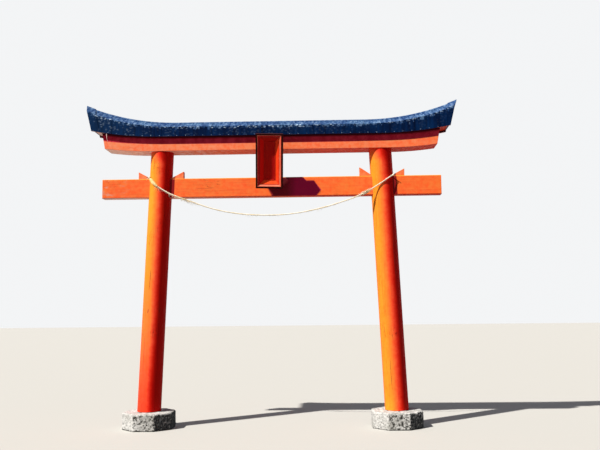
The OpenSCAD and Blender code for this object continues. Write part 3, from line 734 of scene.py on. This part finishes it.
def painted_sheet():
    """Blue paint on folded sheet steel, half gloss; its paler slopes are chalky and partly painted sheen.
    """
    material, tree, shader = new_material("painted_sheet_steel", "#04204C", Roughness=0.5,
                                          Specular_IOR_Level=0.04)
    where = add(tree, "TexCoord", out="Object")
    soft = add(tree, "Bevel", {"Radius": 0.010}, samples=6)
    place = add(tree, "SeparateXYZ", {0: where}).node.outputs
    turned = add(tree, "SeparateXYZ", {0: soft}).node.outputs
    left = add(tree, "MapRange", {0: place[0], 1: -1.9, 2: -2.9})
    # Distance from the fold, up the slope or, below zero, down the fascia. The fold rises with the
    # fifth power of x
    reach_x = add(tree, "Math", {0: place[0]}, operation="ABSOLUTE")
    fold_z = add(tree, "Math", {0: reach_x, 1: 5.0}, operation="POWER")
    fold_z = add(tree, "Math", {0: fold_z, 1: fold_rise, 2: fold_middle}, operation="MULTIPLY_ADD")
    down = add(tree, "Math", {0: place[2], 1: fold_z}, operation="SUBTRACT")
    inward = add(tree, "Math", {0: place[1], 1: middle_y}, operation="SUBTRACT")
    inward = add(tree, "Math", {0: inward}, operation="ABSOLUTE")
    inward = add(tree, "Math", {0: roof_half, 1: inward}, operation="SUBTRACT")
    sloping = add(tree, "MapRange", {0: turned[2], 1: 0.35, 2: 0.55})
    from_fold = add(tree, "Mix", {0: sloping, 2: down, 3: inward}, 0, data_type="FLOAT")
    # Ragged border of the paler slopes, in tongues and islands 30 mm across
    tongue_place = add(tree, "Mapping", {"Vector": where, "Scale": (1, 0.35, 0.8)})
    tongues = add(tree, "TexNoise", {"Vector": tongue_place, "Scale": per(44), "Detail": 3,
                                     "Roughness": 0.7})
    level = add(tree, "Math", {0: from_fold, 1: 9.0, 2: 0.62}, operation="MULTIPLY_ADD")
    level = add(tree, "Math", {0: tongues, 1: 3.2, 2: level}, operation="MULTIPLY_ADD")
    fade_and_sheen = add(tree, "MapRange", {0: level, 1: 1.98, 2: 2.22})
    endwise = add(tree, "Math", {0: turned[0]}, operation="ABSOLUTE")
    lengthwise = add(tree, "MapRange", {0: endwise, 1: 0.75, 2: 0.5})
    fade_and_sheen = add(tree, "Math", {0: fade_and_sheen, 1: lengthwise}, operation="MULTIPLY")
    patches = add(tree, "TexNoise", {"Vector": where, "Scale": per(300), "Detail": 6, "Roughness": 0.62})
    streak_place = add(tree, "Mapping", {"Vector": where, "Scale": (1, 1, 0.1)})
    streaks = add(tree, "TexNoise", {"Vector": streak_place, "Scale": per(42), "Detail": 4,
                                     "Roughness": 0.6})
    navy = add(tree, "ValToRGB", {0: patches},
               stops=((0.36, "#000A2C"), (0.52, "#001438"), (0.70, "#04264E")))
    rain = add(tree, "ValToRGB", {0: streaks}, stops=((0.36, "#000820"), (0.66, "#082E5E")))
    navy = add(tree, "Mix", {0: 0.4, 6: navy, 7: rain}, 2, data_type="RGBA")
    worn_left = add(tree, "Math", {0: left, 1: 0.15}, operation="MULTIPLY")
    navy = add(tree, "Mix", {0: worn_left, 6: navy, 7: "#24507C"}, 2, data_type="RGBA")
    lavender = add(tree, "ValToRGB", {0: patches},
                   stops=((0.34, "#28487A"), (0.52, "#365886"), (0.70, "#4A6C92")))
    # Mottles drawn out down the slope, as the rain runs
    mottle_place = add(tree, "Mapping", {"Vector": where, "Scale": (1, 0.16, 0.4)})
    mottle = add(tree, "TexNoise", {"Vector": mottle_place, "Scale": per(42), "Detail": 4,
                                    "Roughness": 0.7})
    pale = add(tree, "MapRange", {0: mottle, 1: 0.52, 2: 0.70, 3: 0.0, 4: 0.75})
    lavender = add(tree, "Mix", {0: pale, 6: lavender, 7: "#8CA6C6"}, 2, data_type="RGBA")
    worn = add(tree, "MapRange", {0: mottle, 1: 0.50, 2: 0.40, 3: 0.0, 4: 0.9})
    lavender = add(tree, "Mix", {0: worn, 6: lavender, 7: "#0C2C5C"}, 2, data_type="RGBA")
    # Navy uprights and lavender slopes, whose paler tone is partly faded paint and partly painted sheen of
    # the sky
    tone = add(tree, "Mix", {0: fade_and_sheen, 6: navy, 7: lavender}, 2, data_type="RGBA")
    # Pale flecks, 20 to 35 mm across, most of them along the fold
    fleck_place = add(tree, "Mapping", {"Vector": where, "Scale": (1, 1, 1.6)})
    cells = add(tree, "TexVoronoi", {"Vector": fleck_place, "Scale": per(52)}, "Distance")
    dots = add(tree, "MapRange", {0: cells, 1: 0.42, 2: 0.30})
    groups = add(tree, "TexNoise", {"Vector": where, "Scale": per(170), "Detail": 4})
    groups = add(tree, "MapRange", {0: groups, 1: 0.42, 2: 0.56})
    off = add(tree, "Math", {0: from_fold}, operation="ABSOLUTE")
    elsewhere = add(tree, "Math", {0: left, 1: 0.10, 2: 0.04}, operation="MULTIPLY_ADD")
    fold = add(tree, "MapRange", {0: off, 1: 0.045, 2: 0.015, 3: elsewhere, 4: 1.0})
    flecks = add(tree, "Math", {0: dots, 1: groups}, operation="MULTIPLY")
    flecks = add(tree, "Math", {0: flecks, 1: fold}, operation="MULTIPLY")
    rightward = add(tree, "MapRange", {0: place[0], 1: 0.6, 2: 1.4, 3: 1.0, 4: 0.4})
    flecks = add(tree, "Math", {0: flecks, 1: rightward}, operation="MULTIPLY")
    tone = add(tree, "Mix", {0: flecks, 6: tone, 7: "#BAD4F0"}, 2, data_type="RGBA")
    tree.links.new(tone, shader.inputs["Base Color"])
    rough = add(tree, "Mix", {0: fade_and_sheen, 2: 0.42, 3: 0.6}, 0, data_type="FLOAT")
    tree.links.new(rough, shader.inputs["Roughness"])
    dents = add(tree, "TexNoise", {"Vector": where, "Scale": per(90), "Detail": 5})
    bump = add(tree, "Bump", {"Height": dents, "Strength": 0.35, "Distance": 0.004, "Normal": soft})
    tree.links.new(bump, shader.inputs["Normal"])
    return material


sheet = painted_sheet()
dress(sheet, "front_fascia_sheet", "back_fascia_sheet", "front_roof_deck", "back_roof_deck", "ridge_cap",
      "left_end_board", "right_end_board", "left_end_trim", "right_end_trim")


def both_sides(front, back):
    """Trees to cast rays at a front piece and a back piece of the roof, by side."""
    depsgraph = bpy.context.evaluated_depsgraph_get()
    return {side: BVHTree.FromObject(nodes[name], depsgraph) for side, name in ((-1, front), (1, back))}


decks = both_sides("front_roof_deck", "back_roof_deck")
sheets = both_sides("front_fascia_sheet", "back_fascia_sheet")
sheet_thickness = 0.003


def deck_top(side, x, y):
    """Height of the roof deck's top, found from above the roof."""
    return decks[side].ray_cast(Vector((x, y, 9)), Vector((0, 0, -1)))[0].z


def sheet_foot(side, x):
    """Height of the lower edge of a fascia's sheet, found from below the beams."""
    y = middle_y + side * (roof_half - sheet_thickness / 2)
    return sheets[side].ray_cast(Vector((x, y, 3)), upward)[0].z


def lapped_seam(side, x):
    """A lap of the sheet, 12 mm wide and 1.2 mm proud, from the ridge cap down over the fold."""
    half, proud = 0.006, 0.0012
    cap_edge, fold_edge = 0.080, roof_half - 0.0005
    reaches = [cap_edge + (roof_half - cap_edge) * k / 6 for k in range(7)]
    vertices = []
    for dx in (-half, half):
        foot = sheet_foot(side, x + dx) + 0.002
        inner = []
        for reach in reaches:
            inner.append((reach, deck_top(side, x + dx, middle_y + side * min(reach, fold_edge))))
        top = inner[-1][1]
        inner += [(roof_half, top + (foot - top) * k / 5) for k in range(1, 6)]
        outer = [(reach, z + proud) for reach, z in inner[:6]] + [(roof_half + proud, top + proud)]
        outer += [(reach + proud, z) for reach, z in inner[7:]]
        for reach, z in inner + outer[::-1]:
            vertices.append(Vector((x + dx, middle_y + side * reach, z)))
    ring = len(vertices) // 2
    faces = [(k, (k + 1) % ring, ring + (k + 1) % ring, ring + k) for k in range(ring)]
    for start in (0, ring):
        for k in range(ring // 2 - 1):
            faces.append((start + k, start + k + 1, start + ring - 2 - k, start + ring - 1 - k))
    return vertices, faces


seam_places = (-2.62, -1.75, -0.88, 0.0, 0.88, 1.75, 2.62)
seam_shift = 0.13
seams = [lapped_seam(side, x + seam_shift * side) for side in (-1, 1) for x in seam_places]
new_piece("lapped_seams", *joined(seams), sheet, "navy_metal", smooth=False)


def domed_nail(point, out):
    """A nail's domed head on a surface, 12 mm across and 3 mm high."""
    side = out.cross(Vector((1, 0, 0))).normalized()
    up = out.cross(side)
    radius, dome = 0.006, 0.003
    vertices = []
    for ring_radius, proud in ((radius, -0.001), (radius, 0.0008), (radius * 0.7, 0.0022)):
        for k in range(8):
            vertices.append(point + out * proud + ring_radius * around(math.pi * k / 4, side, up))
    vertices.append(point + out * dome)
    faces = []
    for first in (0, 8):
        for k in range(8):
            after = (k + 1) % 8
            faces.append((first + k, first + after, first + 8 + after, first + 8 + k))
    faces += [(16 + k, 16 + (k + 1) % 8, 24) for k in range(8)]
    faces.append(tuple(range(7, -1, -1)))
    return vertices, faces


zinc, tree, shader = new_material("weathered_zinc_nail", "#7C8EA6", Roughness=0.5, Metallic=0.6)
where = add(tree, "TexCoord", out="Object")
tarnish = add(tree, "TexNoise", {"Vector": where, "Scale": per(40), "Detail": 4})
tarnish = add(tree, "ValToRGB", {0: tarnish}, stops=((0.35, "#3C4C66"), (0.65, "#93A6BC")))
tree.links.new(tarnish, shader.inputs["Base Color"])
nail_spacing, nail_shift, nail_height = 0.15, 0.04, 0.016
heads = []
for side in (-1, 1):
    face_y = middle_y + side * roof_half
    for k in range(-19, 20):
        x = nail_spacing * k + nail_shift
        head_place = Vector((x, face_y, sheet_foot(side, x) + nail_height))
        heads.append(domed_nail(head_place, Vector((0, side, 0))))
new_piece("roofing_nails", *joined(heads), zinc, "navy_metal")


# Name board: a panel in a splayed frame, mitred at the corners and lacquered deep red, with
# black lacquer on the rims. A small round moulding covers the joint. The panel is left bare.

board_lean, board_tilt = math.radians(17.5), math.radians(1.5)
board_w, board_h, board_d = 0.462, 0.930, 0.092
board_reach, board_lift = 0.300, 0.105
splay_inset = 0.134
panel_face = 0.022
board_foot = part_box("tie_beam")[0].z + board_lift + board_d * math.sin(board_lean)
board_back = middle_y - board_reach + board_d * math.cos(board_lean)
board_place = (Matrix.Translation((0, board_back, board_foot))
               @ Matrix.Rotation(board_lean, 4, "X") @ Matrix.Translation((0, 0, board_h / 2))
               @ Matrix.Rotation(board_tilt, 4, "Y") @ Matrix.Translation((0, 0, -board_h / 2)))
board_front = (board_place.to_3x3() @ Vector((0, -1, 0))).normalized()

# The lacquer's stops run with the sun: painted light and shade, deep red in shade to orange-red where lit
lacquer = ((0.0, "#DA0E08"), (0.14, "#E0180A"), (0.30, "#EC2A0A"), (0.426, "#F23A0A"), (0.60, "#F64C12"),
           (0.80, "#DC4820"))
# Dark stops for the board's undersides: painted shade
shaded_underside_lacquer = ((0.0, "#A00C06"), (1.0, "#8A0804"))


def red_and_black_lacquer():
    """Old lacquer, half gloss: red on the splayed faces of the frame and black on the others."""
    material, tree, shader, where, tone = vermilion_paint(
        "red_and_black_lacquer", "z", chalk=0.03, wear=0.1, checks=0.3,
        stops=lacquer, dull=shaded_underside_lacquer)
    flat = add(tree, "NewGeometry", out="Normal")
    facing = add(tree, "VectorMath", {0: flat, 1: tuple(board_front)}, "Value", operation="DOT_PRODUCT")
    splayed = add(tree, "Math", {0: facing, 1: 0.80, 2: 0.12}, operation="COMPARE")
    scuffs = add(tree, "TexNoise", {"Vector": where, "Scale": per(35), "Detail": 6, "Roughness": 0.7})
    black = add(tree, "ValToRGB", {0: scuffs},
                stops=((0.40, "#1E0202"), (0.62, "#3E0504"), (0.78, "#6E140C")))
    tone = add(tree, "Mix", {0: splayed, 6: black, 7: tone}, 2, data_type="RGBA")
    tree.links.new(tone, shader.inputs["Base Color"])
    return material


frame_lacquer = red_and_black_lacquer()
# The panel's deeper red is partly painted shade, for it lies in the frame's shade
deep = ((0.0, "#AC0A08"), (0.5, "#C0120C"))
panel_lacquer = vermilion_paint("deep_red_lacquer", "z", chalk=0.0, wear=0.1, checks=0.25,
                                stops=deep, dull=deep)[0]
# The strip's stops run with the sun too, painted light and shade, and are paler than the frame's
worn = ((0.0, "#BC101A"), (0.14, "#D42420"), (0.30, "#F25438"), (0.55, "#F88A68"))
strip_lacquer = vermilion_paint("worn_red_lacquer", "z", chalk=0.2, wear=0.3, checks=0.2,
                                stops=worn, dull=shaded_underside_lacquer)[0]
line_lacquer = new_material("dark_lacquer_line", "#8E0E08", Roughness=0.5, Specular_IOR_Level=0.06)[0]
dress(frame_lacquer, "board_top_rail", "board_bottom_rail", "board_left_stile", "board_right_stile")
dress(panel_lacquer, "board_panel")
dress(beam_paint, "board_cleat", "board_hanger")


def frame_moulding(width, height, face, profile):
    """A moulding swept round a rectangle, mitred at its corners, from (inward, forward) points."""
    vertices, faces = [], []
    for inward, forward in profile:
        w, h = width / 2 - inward, height / 2 - inward
        for u, v in ((-w, -h), (w, -h), (w, h), (-w, h)):
            vertices.append(board_place @ Vector((u, -face - forward, board_h / 2 + v)))
    rows = len(profile)
    for r in range(rows):
        first, second = r * 4, (r + 1) % rows * 4
        faces += [(first + k, first + (k + 1) % 4, second + (k + 1) % 4, second + k) for k in range(4)]
    return vertices, faces


strip_profile = ((0.0315, 0.0900), (0.0330, 0.0925), (0.0610, 0.0790), (0.0590, 0.0715))
strip = frame_moulding(board_w, board_h, 0.0, strip_profile)
new_piece("board_outer_strip", *strip, strip_lacquer, "vermilion_timber", smooth=False)
line_profile = ((0.0590, 0.0715), (0.0605, 0.0737), (0.0705, 0.0668), (0.0690, 0.0648))
line = frame_moulding(board_w, board_h, 0.0, line_profile)
new_piece("board_dark_line", *line, line_lacquer, "dark_red_timber", smooth=False)
bead_r = 0.009
angles = [math.pi * k / 8 for k in range(9)]
half_round = [(bead_r * (1 - math.cos(angle)), bead_r * math.sin(angle)) for angle in angles]
bead_profile = [(-0.002, -0.001)] + half_round + [(2 * bead_r, -0.001)]
bead = frame_moulding(board_w - 2 * splay_inset, board_h - 2 * splay_inset, panel_face, bead_profile)
new_piece("board_moulding", *bead, panel_lacquer, "dark_red_timber", smooth=False)


# Ironwork: forged nails through the rope's knots and two plain rods behind the name board, all
# rusted to a dull brown skin.

rusty_iron, tree, shader = new_material("rusty_iron", "#3A2F2A", Roughness=0.75, Metallic=0.5)
where = add(tree, "TexCoord", out="Object")
rust = add(tree, "TexNoise", {"Vector": where, "Scale": per(16), "Detail": 5})
rust = add(tree, "ValToRGB", {0: rust}, stops=((0.40, "#2E2826"), (0.65, "#6A3A22")))
tree.links.new(rust, shader.inputs["Base Color"])
dress(rusty_iron, "board_left_rod", "board_right_rod", "left_rope_nail", "right_rope_nail")
